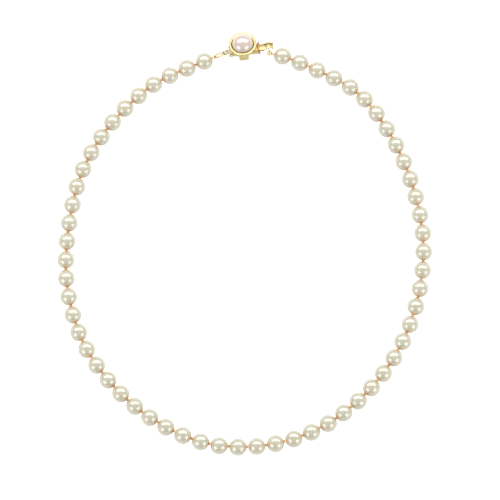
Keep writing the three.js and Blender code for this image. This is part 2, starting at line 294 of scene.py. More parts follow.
def thread_group():
    """Silk filaments: fine streaks, a slubby thickness, and patches where the dye has faded."""
    tree, n, given, out = shader_group(
        "silk filaments",
        [("Place", "NodeSocketVector", None), ("Dye", "NodeSocketColor", (0.8, 0.5, 0.3, 1)),
         ("Faded", "NodeSocketColor", (0.9, 0.7, 0.5, 1))],
        [("Color", "NodeSocketColor"), ("Roughness", "NodeSocketFloat"), ("Height", "NodeSocketFloat")])
    streaks = n.noise(given["Place"], scale=9000, detail=4, roughness=0.7, distortion=2.0)
    slubs = n.noise(given["Place"], scale=1600, detail=3, roughness=0.6)
    n.put(out, "Color", n.mix(n.spread(slubs, 0.35, 0.7), given["Dye"], given["Faded"]))
    n.put(out, "Roughness", n.spread(streaks, 0.3, 0.7, 0.45, 0.75))
    n.put(out, "Height", n.math("ADD", n.math("MULTIPLY", streaks, 0.6), slubs))
    return tree


def finish_material(name, group, values, sockets, bump_depth, hole_attribute=None):
    """A finish that takes colour, roughness and bump from a group. Its constants are on the shader."""
    material = bpy.data.materials.new(name)
    material.use_nodes = True
    n = Nodes(material.node_tree)
    shader = material.node_tree.nodes["Principled BSDF"]
    place = n.add("ShaderNodeTexCoord").outputs["Object"]
    surface = n.add("ShaderNodeGroup", {"node_tree": group})
    n.put(surface, "Place", place)
    for label, value in values.items():
        n.put(surface, label, value)
    if hole_attribute:
        # Share of the painted peach glow round the holes, stored on the pearl mesh
        hole_glow = n.add("ShaderNodeAttribute", {"attribute_name": hole_attribute}).outputs["Fac"]
        n.put(surface, "Hole", hole_glow)
    bump = n.add("ShaderNodeBump", Strength=1.0, Distance=bump_depth, Height=surface.outputs["Height"])
    n.put(shader, "Base Color", surface.outputs["Color"])
    n.put(shader, "Roughness", surface.outputs["Roughness"])
    n.put(shader, "Normal", bump.outputs["Normal"])
    for label, value in sockets.items():
        shader.inputs[label].default_value = value
    return material


nacre = nacre_group()
polish = polish_group()
filaments = thread_group()

PEARL_SOCKETS = {
    "IOR": 1.9, "Subsurface Weight": 0.15, "Subsurface Radius": (1.0, 0.7, 0.45),
    "Subsurface Scale": 0.5 * MM, "Coat Weight": 0.9, "Coat Roughness": 0.15, "Coat IOR": 1.8,
    "Coat Tint": (1.0, 0.985, 0.94, 1),
}
PEARL_BUMP, GOLD_BUMP, SILK_BUMP = 0.006 * MM, 0.02 * MM, 0.03 * MM
# The third colour of each nacre is a painted warm peach glow round the drill holes
cream_nacre = finish_material(
    "cream nacre", nacre,
    {"Body": (0.42, 0.412, 0.322, 1), "Blush": (0.445, 0.41, 0.305, 1),
     "Shade": (0.365, 0.357, 0.295, 1), "Stain": (0.58, 0.36, 0.16, 1), "Gloss": 0.25},
    PEARL_SOCKETS, PEARL_BUMP, "hole_nearness")
rose_nacre = finish_material(
    "rose white nacre", nacre,
    {"Body": (0.50, 0.425, 0.395, 1), "Blush": (0.53, 0.42, 0.38, 1), "Shade": (0.42, 0.38, 0.35, 1),
     "Stain": (0.60, 0.40, 0.28, 1), "Gloss": 0.17},
    PEARL_SOCKETS, PEARL_BUMP)
yellow_gold = finish_material(
    "yellow gold", polish,
    {"Metal": (0.55, 0.465, 0.23, 1), "Warm": (0.38, 0.27, 0.09, 1), "Polish": 0.27, "Wear": 0.7},
    {"Metallic": 1.0}, GOLD_BUMP)
red_gold = finish_material(
    "red gold", polish,
    {"Metal": (0.48, 0.22, 0.045, 1), "Warm": (0.34, 0.14, 0.025, 1), "Polish": 0.26, "Wear": 0.8},
    {"Metallic": 1.0}, GOLD_BUMP)
peach_silk = finish_material(
    "peach silk", filaments,
    {"Dye": (0.72, 0.36, 0.13, 1), "Faded": (0.86, 0.56, 0.30, 1)},
    {"Subsurface Weight": 0.3, "Subsurface Radius": (1.0, 0.6, 0.3), "Subsurface Scale": 0.2 * MM,
     "Sheen Weight": 0.4, "Sheen Roughness": 0.4}, SILK_BUMP)

# ---------------------------------------------------------------- mesh building

WIRE_SIDES = 14
RING_STEPS = 48
GROWN_SHARP = math.radians(60)


def new_object(name, mesh):
    obj = bpy.data.objects.new(name, mesh)
    scene.collection.objects.link(obj)
    return obj


def mesh_from(bm, name, sharp=math.radians(35)):
    """Makes a mesh of a bmesh, with outward faces, smooth but for edges sharper than the given angle."""
    bmesh.ops.recalc_face_normals(bm, faces=bm.faces)
    mesh = bpy.data.meshes.new(name)
    bm.to_mesh(mesh)
    bm.free()
    mesh.shade_smooth()
    mesh.set_sharp_from_angle(angle=sharp)
    return mesh


def lathe(profile, segments, closed=False):
    """Turns a profile of (radius, height) about z. A profile end at radius 0 closes in one point."""
    bm = bmesh.new()
    rings = []
    for radius, height in profile:
        if radius == 0:
            rings.append([bm.verts.new((0, 0, height))])
            continue
        angles = [2 * math.pi * k / segments for k in range(segments)]
        places = [(radius * math.cos(a), radius * math.sin(a), height) for a in angles]
        rings.append([bm.verts.new(place) for place in places])
    pairs = list(zip(rings, rings[1:])) + ([(rings[-1], rings[0])] if closed else [])
    for low, high in pairs:
        for k in range(segments):
            m = (k + 1) % segments
            if len(low) == 1:
                bm.faces.new((low[0], high[m], high[k]))
            elif len(high) == 1:
                bm.faces.new((low[k], low[m], high[0]))
            else:
                bm.faces.new((low[k], low[m], high[m], high[k]))
    return bm


def smooth_line(points, steps, closed=False):
    """A finer line through the points, eased round each of them."""
    p = [Vector(q) for q in points]
    count = len(p)
    line = []
    for k in range(count if closed else count - 1):
        near = range(k - 1, k + 3)
        a, b, c, d = (p[j % count] if closed else p[min(max(j, 0), count - 1)] for j in near)
        for s in range(steps):
            t = s / steps
            line.append(0.5 * (2 * b + (c - a) * t + (2 * a - 5 * b + 4 * c - d) * t * t
                               + (3 * b - 3 * c + d - a) * t ** 3))
    if not closed:
        line.append(p[-1].copy())
    return line


def sweep(path, section, closed=False):
    """Carries a flat section along a path with no sudden turn, and caps the ends of an open path."""
    path = [Vector(p) for p in path]
    count = len(path)
    tangents = []
    for k in range(count):
        before = path[k - 1] if closed or k else path[0]
        after = path[(k + 1) % count] if closed or k < count - 1 else path[-1]
        tangents.append((after - before).normalized())
    side = tangents[0].orthogonal().normalized()
    sides = [side]
    for k in range(1, count):
        side = tangents[k - 1].rotation_difference(tangents[k]) @ side
        sides.append(side)
    if closed:
        last = tangents[-1].rotation_difference(tangents[0]) @ sides[-1]
        turn = math.atan2(last.cross(sides[0]).dot(tangents[0]), last.dot(sides[0]))
        sides = [Matrix.Rotation(turn * k / count, 3, tangents[k]) @ s for k, s in enumerate(sides)]
    bm = bmesh.new()
    rings = []
    for k in range(count):
        up = tangents[k].cross(sides[k])
        rings.append([bm.verts.new(path[k] + sides[k] * u + up * v) for u, v in section])
    for low, high in list(zip(rings, rings[1:])) + ([(rings[-1], rings[0])] if closed else []):
        for k in range(len(section)):
            m = (k + 1) % len(section)
            bm.faces.new((low[k], low[m], high[m], high[k]))
    if not closed:
        bm.faces.new(list(reversed(rings[0])))
        bm.faces.new(rings[-1])
    return bm


def round_section(radius, sides=WIRE_SIDES):
    return [(radius * math.cos(2 * math.pi * k / sides), radius * math.sin(2 * math.pi * k / sides))
            for k in range(sides)]


def circle_path(centre, radius, count, x_axis=(1, 0, 0), y_axis=(0, 1, 0), gap=0.0):
    """Points round a circle, leaving out a gap in degrees after its start if it is a cut ring."""
    turn = 2 * math.pi - math.radians(gap)
    steps = count if gap == 0 else count - 1
    centre, x_axis, y_axis = Vector(centre), Vector(x_axis), Vector(y_axis)
    angles = [turn * k / steps for k in range(count)]
    return [centre + radius * (x_axis * math.cos(a) + y_axis * math.sin(a)) for a in angles]


def prism(outline, low, high, axes):
    """A straight bar of any outline. axes names the outline's two axes and then the bar's own."""
    index = ["xyz".index(a) for a in axes]
    bm = bmesh.new()
    ends = []
    for depth in (low, high):
        ring = []
        for u, v in outline:
            point = [0.0, 0.0, 0.0]
            for slot_index, value in zip(index, (u, v, depth)):
                point[slot_index] = value
            ring.append(bm.verts.new(point))
        ends.append(ring)
    count = len(outline)
    for k in range(count):
        m = (k + 1) % count
        bm.faces.new((ends[0][k], ends[0][m], ends[1][m], ends[1][k]))
    bm.faces.new(list(reversed(ends[0])))
    bm.faces.new(ends[1])
    return bm


def soften(bm, width, segments=3, angle=math.radians(40)):
    """Rounds every edge that is sharper than the angle."""
    bmesh.ops.recalc_face_normals(bm, faces=bm.faces)
    edges = [e for e in bm.edges if len(e.link_faces) == 2 and e.calc_face_angle(0) > angle]
    bmesh.ops.bevel(bm, geom=edges, offset=width, segments=segments, profile=0.5,
                    affect="EDGES", clamp_overlap=True)
    return bm


def rounded_box(low, high, radius, steps=5):
    """The outline of a rectangle with round corners, anticlockwise."""
    points = []
    left, right = low[0] + radius, high[0] - radius
    bottom, top = low[1] + radius, high[1] - radius
    for cx, cy, start in ((right, top, 0), (left, top, 90), (left, bottom, 180), (right, bottom, 270)):
        for k in range(steps + 1):
            a = math.radians(start + 90 * k / steps)
            points.append((cx + radius * math.cos(a), cy + radius * math.sin(a)))
    return points


def joined(*bms):
    """One bmesh of several."""
    whole = bmesh.new()
    for bm in bms:
        part = bpy.data.meshes.new("part")
        bm.to_mesh(part)
        bm.free()
        whole.from_mesh(part)
        bpy.data.meshes.remove(part)
    return whole


def finish_piece(name, mesh, material, body, slot, *nodes):
    """Gives a mesh its finish, ties it to its body and hides the CAD nodes it stands for. The slot is
    not used.
    """
    mesh.name = name
    mesh.materials.clear()
    mesh.materials.append(material)
    piece = new_object(name, mesh)
    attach(piece, body)
    if nodes:
        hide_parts(*nodes)
    return piece


# ---------------------------------------------------------------- geometry trees


def geometry_tree(name, inputs):
    """A new geometry tree with named inputs, its node adder, its given values and its output node."""
    tree = bpy.data.node_groups.new(name, "GeometryNodeTree")
    tree.interface.new_socket("Geometry", in_out="INPUT", socket_type="NodeSocketGeometry")
    tree.interface.new_socket("Geometry", in_out="OUTPUT", socket_type="NodeSocketGeometry")
    for label, kind in inputs:
        tree.interface.new_socket(label, in_out="INPUT", socket_type=kind)
    return tree, Nodes(tree), tree.nodes.new("NodeGroupInput").outputs, tree.nodes.new("NodeGroupOutput")


# Places of the random node's sockets, which share their names
RANDOM_VECTOR_MIN, RANDOM_VECTOR_MAX, RANDOM_FLOAT_MAX = "0", "1", "3"
RANDOM_FLOAT_OUTPUT = 1
SIZE_SEED_STEP = 71.0


def strung_tree():
    """Threads a shape onto each point along its string, turned, sized and roughened by chance."""
    tree, n, given, out = geometry_tree("strung pieces", [
        ("Shape", "NodeSocketObject"), ("Finish", "NodeSocketMaterial"),
        ("Size spread", "NodeSocketFloat"), ("Unevenness", "NodeSocketFloat"),
        ("Unevenness scale", "NodeSocketFloat"), ("Seed", "NodeSocketInt")])
    shape = n.add("GeometryNodeObjectInfo", Object=given["Shape"])
    string = n.add("GeometryNodeInputNamedAttribute", {"data_type": "FLOAT_VECTOR"}, Name="string")
    aligned = n.add("FunctionNodeAlignRotationToVector", {"axis": "Z"},
                    Vector=string.outputs["Attribute"])
    spin = n.add("FunctionNodeRandomValue", {"data_type": "FLOAT"}, Seed=given["Seed"])
    n.put(spin, RANDOM_FLOAT_MAX, 2 * math.pi)
    euler = n.add("ShaderNodeCombineXYZ", Z=spin.outputs[RANDOM_FLOAT_OUTPUT])
    turned = n.add("FunctionNodeRotateRotation", {"rotation_space": "LOCAL"},
                   Rotation=aligned.outputs[0], Rotate_By=euler.outputs[0])
    size = n.add("FunctionNodeRandomValue", {"data_type": "FLOAT_VECTOR"},
                 Seed=n.math("ADD", given["Seed"], SIZE_SEED_STEP))
    n.put(size, RANDOM_VECTOR_MIN, n.math("SUBTRACT", 1.0, given["Size spread"]))
    n.put(size, RANDOM_VECTOR_MAX, n.math("ADD", 1.0, given["Size spread"]))
    placed = n.add("GeometryNodeInstanceOnPoints", Points=given["Geometry"],
                   Instance=shape.outputs["Geometry"], Rotation=turned.outputs[0], Scale=size.outputs[0])
    real = n.add("GeometryNodeRealizeInstances", Geometry=placed.outputs[0])
    position = n.add("GeometryNodeInputPosition").outputs[0]
    bumps = n.add("ShaderNodeTexNoise", Vector=position, Scale=given["Unevenness scale"], Detail=1.0)
    offset = n.math("MULTIPLY_ADD", bumps.outputs["Fac"], 2.0, -1.0)
    depth = n.math("MULTIPLY", offset, given["Unevenness"])
    push = n.vector_math("SCALE", n.add("GeometryNodeInputNormal").outputs[0], Scale=depth)
    moved = n.add("GeometryNodeSetPosition", Geometry=real.outputs[0], Offset=push)
    done = n.add("GeometryNodeSetMaterial", Geometry=moved.outputs[0], Material=given["Finish"])
    n.put(out, "Geometry", done.outputs[0])
    return tree


def plied_tree():
    """Winds round plies about a path, as twisted silk is made."""
    tree, n, given, out = geometry_tree("plied thread", [
        ("Plies", "NodeSocketInt"), ("Ply radius", "NodeSocketFloat"),
        ("Lay radius", "NodeSocketFloat"), ("Twists", "NodeSocketFloat"),
        ("Points", "NodeSocketInt"), ("Finish", "NodeSocketMaterial")])
    even = n.add("GeometryNodeResampleCurve", Curve=given["Geometry"], Count=given["Points"])
    copies = n.add("GeometryNodeDuplicateElements", {"domain": "SPLINE"},
                   Geometry=even.outputs[0], Amount=given["Plies"])
    share = n.math("DIVIDE", copies.outputs["Duplicate Index"], given["Plies"])
    kept = n.add("GeometryNodeCaptureAttribute", Geometry=copies.outputs[0])
    kept.capture_items.new("FLOAT", "Share")
    n.put(kept, "Share", share)
    along = n.add("GeometryNodeSplineParameter").outputs["Factor"]
    turns = n.math("MULTIPLY_ADD", along, given["Twists"], kept.outputs["Share"])
    angle = n.math("MULTIPLY", turns, 2 * math.pi)
    normal = n.add("GeometryNodeInputNormal").outputs[0]
    tangent = n.add("GeometryNodeInputTangent").outputs[0]
    side = n.vector_math("CROSS_PRODUCT", tangent, normal)
    parts = []
    for axis, operation in ((normal, "COSINE"), (side, "SINE")):
        reach = n.math("MULTIPLY", n.math(operation, angle), given["Lay radius"])
        parts.append(n.vector_math("SCALE", axis, Scale=reach))
    wound = n.add("GeometryNodeSetPosition", Geometry=kept.outputs[0],
                  Offset=n.vector_math("ADD", *parts))
    section = n.add("GeometryNodeCurvePrimitiveCircle", Resolution=8, Radius=given["Ply radius"])
    tube = n.add("GeometryNodeCurveToMesh", Curve=wound.outputs[0], Profile_Curve=section.outputs[0],
                 Fill_Caps=True)
    real = n.add("GeometryNodeRealizeInstances", Geometry=tube.outputs[0])
    done = n.add("GeometryNodeSetMaterial", Geometry=real.outputs[0], Material=given["Finish"])
    n.put(out, "Geometry", done.outputs[0])
    return tree


def rib_tree():
    """Sets straight ribs with rounded ends across a path at an even pitch."""
    tree, n, given, out = geometry_tree("grip ribs", [
        ("Ribs", "NodeSocketInt"), ("Rib radius", "NodeSocketFloat"),
        ("Rib length", "NodeSocketFloat"), ("Rib axis", "NodeSocketVector"),
        ("Finish", "NodeSocketMaterial")])
    even = n.add("GeometryNodeResampleCurve", Curve=given["Geometry"], Count=given["Ribs"])
    half = n.math("MULTIPLY", given["Rib length"], 0.5)
    low_end = n.add("ShaderNodeCombineXYZ", Z=n.math("MULTIPLY", half, -1.0))
    high_end = n.add("ShaderNodeCombineXYZ", Z=half)
    spine = n.add("GeometryNodeMeshLine", {"mode": "END_POINTS"}, Count=2,
                  Start_Location=low_end.outputs[0], Offset=high_end.outputs[0])
    line = n.add("GeometryNodeMeshToCurve", Mesh=spine.outputs[0])
    fine = n.add("GeometryNodeResampleCurve", Curve=line.outputs[0], Count=14)
    along = n.add("GeometryNodeSplineParameter").outputs["Factor"]
    from_middle = n.math("ABSOLUTE", n.math("MULTIPLY_ADD", along, 2.0, -1.0))
    taper = n.math("SQRT", n.math("SUBTRACT", 1.02, n.math("POWER", from_middle, 6.0)))
    section = n.add("GeometryNodeCurvePrimitiveCircle", Resolution=12, Radius=given["Rib radius"])
    rib = n.add("GeometryNodeCurveToMesh", Curve=fine.outputs[0], Profile_Curve=section.outputs[0],
                Scale=taper, Fill_Caps=True)
    aligned = n.add("FunctionNodeAlignRotationToVector", {"axis": "Z"}, Vector=given["Rib axis"])
    places = n.add("GeometryNodeCurveToPoints", {"mode": "EVALUATED"}, Curve=even.outputs[0])
    placed = n.add("GeometryNodeInstanceOnPoints", Points=places.outputs[0], Instance=rib.outputs[0],
                   Rotation=aligned.outputs[0])
    real = n.add("GeometryNodeRealizeInstances", Geometry=placed.outputs[0])
    done = n.add("GeometryNodeSetMaterial", Geometry=real.outputs[0], Material=given["Finish"])
    n.put(out, "Geometry", done.outputs[0])
    return tree


def grown(name, source, tree, values):
    """The plain mesh that a geometry tree makes of a source object, which is used up."""
    modifier = source.modifiers.new("build", "NODES")
    modifier.node_group = tree
    sockets = {s.name: s.identifier for s in tree.interface.items_tree if s.in_out == "INPUT"}
    for label, value in values.items():
        modifier[sockets[label]] = value
    bpy.context.view_layer.update()
    evaluated = source.evaluated_get(bpy.context.evaluated_depsgraph_get())
    mesh = bpy.data.meshes.new_from_object(evaluated)
    mesh.name = name
    source.modifiers.remove(modifier)
    bpy.data.objects.remove(source)
    mesh.shade_smooth()
    mesh.set_sharp_from_angle(angle=GROWN_SHARP)
    return mesh


def points_object(points, directions):
    """Loose points, each with the direction of its string."""
    mesh = bpy.data.meshes.new("points")
    mesh.from_pydata([tuple(p) for p in points], [], [])
    string = mesh.attributes.new("string", "FLOAT_VECTOR", "POINT")
    for k, direction in enumerate(directions):
        string.data[k].vector = direction
    return new_object("points", mesh)


def path_object(points):
    curve = bpy.data.curves.new("path", "CURVE")
    curve.dimensions = "3D"
    spline = curve.splines.new("POLY")
    spline.points.add(len(points) - 1)
    for target, point in zip(spline.points, points):
        target.co = (*point, 1)
    return new_object("path", curve)


strung = strung_tree()
plied = plied_tree()
ribbed = rib_tree()

# ---------------------------------------------------------------- the strand

PAIRS = 30
PEARL_RADIUS = 3.2 * MM
PEARL_ROWS, PEARL_SEGMENTS = 30, 56
HOLE_RADIUS = 0.40  # millimetres, as the lip is
HOLE_LIP = 0.16
# How far round each hole the painted peach glow reaches, and how it fades
HOLE_GLOW_EDGE, HOLE_GLOW_FULL = 54, 10  # degrees from the hole's axis
HOLE_GLOW_FADE = 1.4

KNOT_STAND = 0.3 * MM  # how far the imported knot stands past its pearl
KNOT_SNUG = 0.15 * MM  # how much nearer to its own pearl a knot is tied than its hinge lies
KNOT_LOBE = 0.155 * MM
KNOT_THREAD = 0.19 * MM
KNOT_CORE = 0.24 * MM
KNOT_STEPS = 72
KNOT_SEEDS = 100


def pearl_shape():
    """One drilled pearl about z, with a soft lip at each hole and its share of painted peach glow
    stored.
    """
    radius = PEARL_RADIUS / MM
    lip_angle = math.asin((HOLE_RADIUS + HOLE_LIP) / radius)
    profile = []
    for k in range(PEARL_ROWS + 1):
        a = -math.pi / 2 + lip_angle + (math.pi - 2 * lip_angle) * k / PEARL_ROWS
        profile.append((radius * math.cos(a), radius * math.sin(a)))
    edge = radius * math.cos(lip_angle)
    upper = [(HOLE_RADIUS + 0.08, edge - 0.005), (HOLE_RADIUS + 0.02, edge - 0.05),
             (HOLE_RADIUS, edge - 0.14), (HOLE_RADIUS, edge - 0.9)]
    profile += upper + [(HOLE_RADIUS, 0.0)] + [(r, -z) for r, z in reversed(upper)]
    bm = lathe(profile, PEARL_SEGMENTS, closed=True)
    for v in bm.verts:
        v.co *= MM
    mesh = mesh_from(bm, "pearl", math.radians(70))
    near = mesh.attributes.new("hole_nearness", "FLOAT", "POINT")
    for k, v in enumerate(mesh.vertices):
        polar = math.degrees(math.acos(min(1, abs(v.co.z) / max(v.co.length, 1e-9))))
        share = min(1, max(0, (HOLE_GLOW_EDGE - polar) / (HOLE_GLOW_EDGE - HOLE_GLOW_FULL)))
        near.data[k].value = share ** HOLE_GLOW_FADE
    return new_object("pearl", mesh)


def knot_shape():
    """An overhand knot drawn tight about a short core of string.

    The core runs into its own pearl's hole and stops short of the next one, which leaves room to bend.
    """
    lobe = KNOT_LOBE
    tie = []
    for k in range(KNOT_STEPS):
        t = 2 * math.pi * k / KNOT_STEPS
        tie.append((lobe * (math.sin(t) + 2 * math.sin(2 * t)),
                    lobe * (math.cos(t) - 2 * math.cos(2 * t)),
                    -1.05 * lobe * math.sin(3 * t)))
    core = [(0, 0, z * 0.09 * MM) for z in range(-8, 5)]
    bm = joined(sweep(tie, round_section(KNOT_THREAD, 8), closed=True),
                sweep(core, round_section(KNOT_CORE, 10)))
    return new_object("knot", mesh_from(bm, "knot", math.radians(80)))


def strand_pair(index):
    """The two pearl centres of a pair and the string's direction, read from the pair's long axis."""
    node = frame["nodes"][f"pearl_pair_{index:02d}"]
    co = np.array([v.co for v in node.data.vertices], float)
    middle = co.mean(0)
    axis = Vector(np.linalg.eigh(np.cov((co - middle).T))[1][:, -1])
    following = knot_places.get(index)
    towards = following - Vector(middle) if following else Vector(middle) - knot_places[index - 1]
    if towards.dot(axis) < 0:
        axis = -axis
    along = (co - middle) @ np.array(axis)
    first = Vector(middle) + axis * (along.min() + PEARL_RADIUS)
    stand = KNOT_STAND if following else 0.0
    second = Vector(middle) + axis * (along.max() - stand - PEARL_RADIUS)
    return first, second, axis


def knot_joint(index):
    """The hinge between a pair and the next one."""
    ends = {f"strand_{index:02d}", f"strand_{index + 1:02d}"}
    return next(joint for joint in joints.values() if {joint["parent"], joint["child"]} == ends)


knot_places = {k: Vector(knot_joint(k)["pos_m"]) for k in range(1, PAIRS)}
pairs = {k: strand_pair(k) for k in range(1, PAIRS + 1)}
pearl = pearl_shape()
knot = knot_shape()
for index, (first, second, axis) in pairs.items():
    body = f"strand_{index:02d}"
    knots = [((first + second) / 2, axis)]
    if index in knot_places:
        knots.append((knot_places[index] - axis * KNOT_SNUG, (axis + pairs[index + 1][2]).normalized()))
    pearls = grown(f"pearls_{index:02d}", points_object([first, second], [axis, axis]), strung, {
        "Shape": pearl, "Finish": cream_nacre, "Size spread": 0.006,
        "Unevenness": 0.03 * MM, "Unevenness scale": 260.0, "Seed": index})
    finish_piece(f"pearls_{index:02d}", pearls, cream_nacre, body, "pearl", f"pearl_pair_{index:02d}")
    ties = grown(f"knots_{index:02d}", points_object(*zip(*knots)), strung, {
        "Shape": knot, "Finish": peach_silk, "Size spread": 0.03,
        "Unevenness": 0.01 * MM, "Unevenness scale": 2500.0, "Seed": KNOT_SEEDS + index})
    finish_piece(f"knots_{index:02d}", ties, peach_silk, body, "silk")
bpy.data.objects.remove(pearl)
bpy.data.objects.remove(knot)

# ---------------------------------------------------------------- the clasp

mount = next(m for m in record["mounts"] if m["name"] == "strap_underside")
clasp_z = -Vector(mount["axis"]).normalized()
clasp_y = -Vector(joints["thumb_press"]["axis"]).normalized()
clasp_x = clasp_y.cross(clasp_z)
clasp_turn = Matrix((clasp_x, clasp_y, clasp_z)).transposed().to_4x4()
CLASP = Matrix.Translation(mount["pos_m"]) @ clasp_turn @ Matrix.Scale(MM, 4)


def clasp_piece(name, bm, material, body, slot, *nodes, sharp=math.radians(35)):
    """A piece drawn in millimetres in the clasp's frame."""
    bmesh.ops.transform(bm, matrix=CLASP, verts=bm.verts)
    return finish_piece(name, mesh_from(bm, name, sharp), material, body, slot, *nodes)


def gold_piece(name, bm, body, *nodes, material=None, slot="gold"):
    return clasp_piece(name, bm, material or yellow_gold, body, slot, *nodes)


STRAP_HALF = 1.7
STRAP_REACH = 3.9
STRAP_THICK = 0.4
STRAP_BEND = 0.9
STRAP_TOP = 3.3
BEND_STEPS = 6


def strap():
    """A bent strip under the box, its two uprights soldered to the cup."""
    lines = []
    for inset in (0, STRAP_THICK):
        radius = STRAP_BEND - inset
        half = []
        for k in range(BEND_STEPS + 1):
            a = math.radians(90 * k / BEND_STEPS)
            half.append((STRAP_REACH - STRAP_BEND + radius * math.sin(a),
                         STRAP_BEND - radius * math.cos(a)))
        half.append((STRAP_REACH - inset, STRAP_TOP))
        lines.append([(-y, z) for y, z in reversed(half)] + half)
    outer, inner = lines
    return soften(prism(outer + inner[::-1], -STRAP_HALF, STRAP_HALF, "yzx"), width=0.07)


gold_piece("strap", strap(), "clasp_box", "clasp_strap")

BOX_LEFT, BOX_RIGHT, BOX_HALF = -4.7, 5.3, 1.8
TRAY_LOW, TRAY_FLOOR, TRAY_TOP, TRAY_WALL, TRAY_BEVEL = 0.55, 0.85, 2.45, 0.3, 0.2
COVER_LOW, COVER_TOP = 2.6, 2.9


def tray():
    """The open channel that the tongue slides in, its two lower edges bevelled."""
    inner = BOX_HALF - TRAY_WALL
    bevel = TRAY_BEVEL
    section = [(-BOX_HALF, TRAY_TOP), (-BOX_HALF, TRAY_LOW + bevel), (-BOX_HALF + bevel, TRAY_LOW),
               (BOX_HALF - bevel, TRAY_LOW), (BOX_HALF, TRAY_LOW + bevel), (BOX_HALF, TRAY_TOP),
               (inner, TRAY_TOP), (inner, TRAY_FLOOR), (-inner, TRAY_FLOOR), (-inner, TRAY_TOP)]
    return soften(prism(section, BOX_LEFT, BOX_RIGHT, "yzx"), width=0.06)


def cover():
    """The flat lid between the tray and the cup."""
    outline = rounded_box((BOX_LEFT, -BOX_HALF), (BOX_RIGHT, BOX_HALF), 0.2)
    return soften(prism(outline, COVER_LOW, COVER_TOP, "xyz"), width=0.07)


gold_piece("box_tray", tray(), "clasp_box", "clasp_tray")
gold_piece("box_cover", cover(), "clasp_box", "clasp_cover")

PLATE_HALF, PLATE_LOW, PLATE_TOP, PLATE_THICK = 1.95, 0.4, 2.9, 0.5
SLOT_HALF, SLOT_LOW, SLOT_HIGH = 1.5, 0.95, 2.35
SLOT_PLATE_X, LUG_PLATE_X = 5.45, -5.35
SLOT_LIP = 0.3


def slot_plate():
    """The end plate that the tongue enters: a rounded frame, a little thicker on the tongue's side."""
    outer = rounded_box((-PLATE_HALF, PLATE_LOW), (PLATE_HALF, PLATE_TOP), 0.32, 6)
    inner = rounded_box((-SLOT_HALF, SLOT_LOW), (SLOT_HALF, SLOT_HIGH), 0.2, 6)
    bm = bmesh.new()
    ends = (SLOT_PLATE_X, SLOT_PLATE_X + PLATE_THICK + SLOT_LIP)
    back_outer, front_outer, back_inner, front_inner = [
        [bm.verts.new((x, y, z)) for y, z in ring] for ring in (outer, inner) for x in ends]
    count = len(outer)
    for a, b in ((back_outer, front_outer), (front_outer, front_inner),
                 (front_inner, back_inner), (back_inner, back_outer)):
        for k in range(count):
            m = (k + 1) % count
            bm.faces.new((a[k], a[m], b[m], b[k]))
    return soften(bm, width=0.11, segments=4, angle=math.radians(60))


LUG_CENTRE, LUG_RADIUS, LUG_WIRE = (-5.85, 0, 1.65), 0.65, 0.2
LUG_FOOT_LINE = [(0, -0.06), (0.34, -0.06), (0.30, 0.03), (0.22, 0.12), (0, 0.14)]
LUG_FOOT_Y = 0.46


def lug_plate():
    """The blind end plate with its eye, and a fillet of solder at both of the eye's feet."""
    outline = rounded_box((-PLATE_HALF, PLATE_LOW), (PLATE_HALF, PLATE_TOP), 0.4)
    plate = soften(prism(outline, LUG_PLATE_X, LUG_PLATE_X + PLATE_THICK, "yzx"), width=0.09)
    eye = sweep(circle_path(LUG_CENTRE, LUG_RADIUS, RING_STEPS), round_section(LUG_WIRE), closed=True)
    feet = []
    for y in (-LUG_FOOT_Y, LUG_FOOT_Y):
        foot = lathe(LUG_FOOT_LINE, 24)
        at = Matrix.Translation((LUG_PLATE_X, y, LUG_CENTRE[2])) @ Matrix.Rotation(-math.pi / 2, 4, "Y")
        bmesh.ops.transform(foot, matrix=at, verts=foot.verts)
        feet.append(foot)
    return joined(plate, eye, *feet)


gold_piece("slot_plate", slot_plate(), "clasp_box", "clasp_slot_plate",
           material=red_gold, slot="red_gold")
gold_piece("lug_plate", lug_plate(), "clasp_box", "clasp_lug_plate")

# Radius and height along the bowl's wall, up the outside, over the rim and down inside
CUP_LINE = [(2.0, 3.05), (2.9, 3.06), (3.6, 3.2), (4.1, 3.5), (4.45, 3.85), (4.7, 4.25), (4.85, 4.7),
            (4.92, 5.1), (4.93, 5.35), (5.02, 5.5), (5.1, 5.68), (5.1, 5.84), (5.0, 5.97), (4.8, 6.03),
            (4.5, 6.03), (4.28, 5.98), (4.14, 5.88), (4.1, 5.74), (4.1, 4.6), (4.04, 4.15), (3.8, 3.72),
            (3.1, 3.45), (2.0, 3.45)]
PEG_LINE = [(0, 3.6), (0.38, 3.6), (0.45, 3.67), (0.45, 6.1), (0.36, 6.2), (0, 6.2)]


def cup():
    """A spun bowl with a rolled rim: smooth outside, a straight wall round the pearl inside."""
    line = [(p.x, p.y) for p in smooth_line([(r, z, 0) for r, z in CUP_LINE], 3)]
    under, floor = CUP_LINE[0][1], CUP_LINE[-1][1]
    return lathe([(0, under)] + line + [(0, floor)], 112)


clasp_piece("cup", cup(), yellow_gold, "clasp_box", "gold", "clasp_cup", sharp=math.radians(50))
gold_piece("peg", lathe(PEG_LINE, 32), "clasp_box", "clasp_peg")

SET_PEARL_HEIGHT, SET_PEARL_RADIUS, SET_PEARL_BACK = 5.5, 3.95, 3.85
SET_PEARL_ROWS, SET_PEARL_SEGMENTS = 40, 88
PEG_HOLE_RADIUS, PEG_HOLE_TOP = 0.65, 6.4


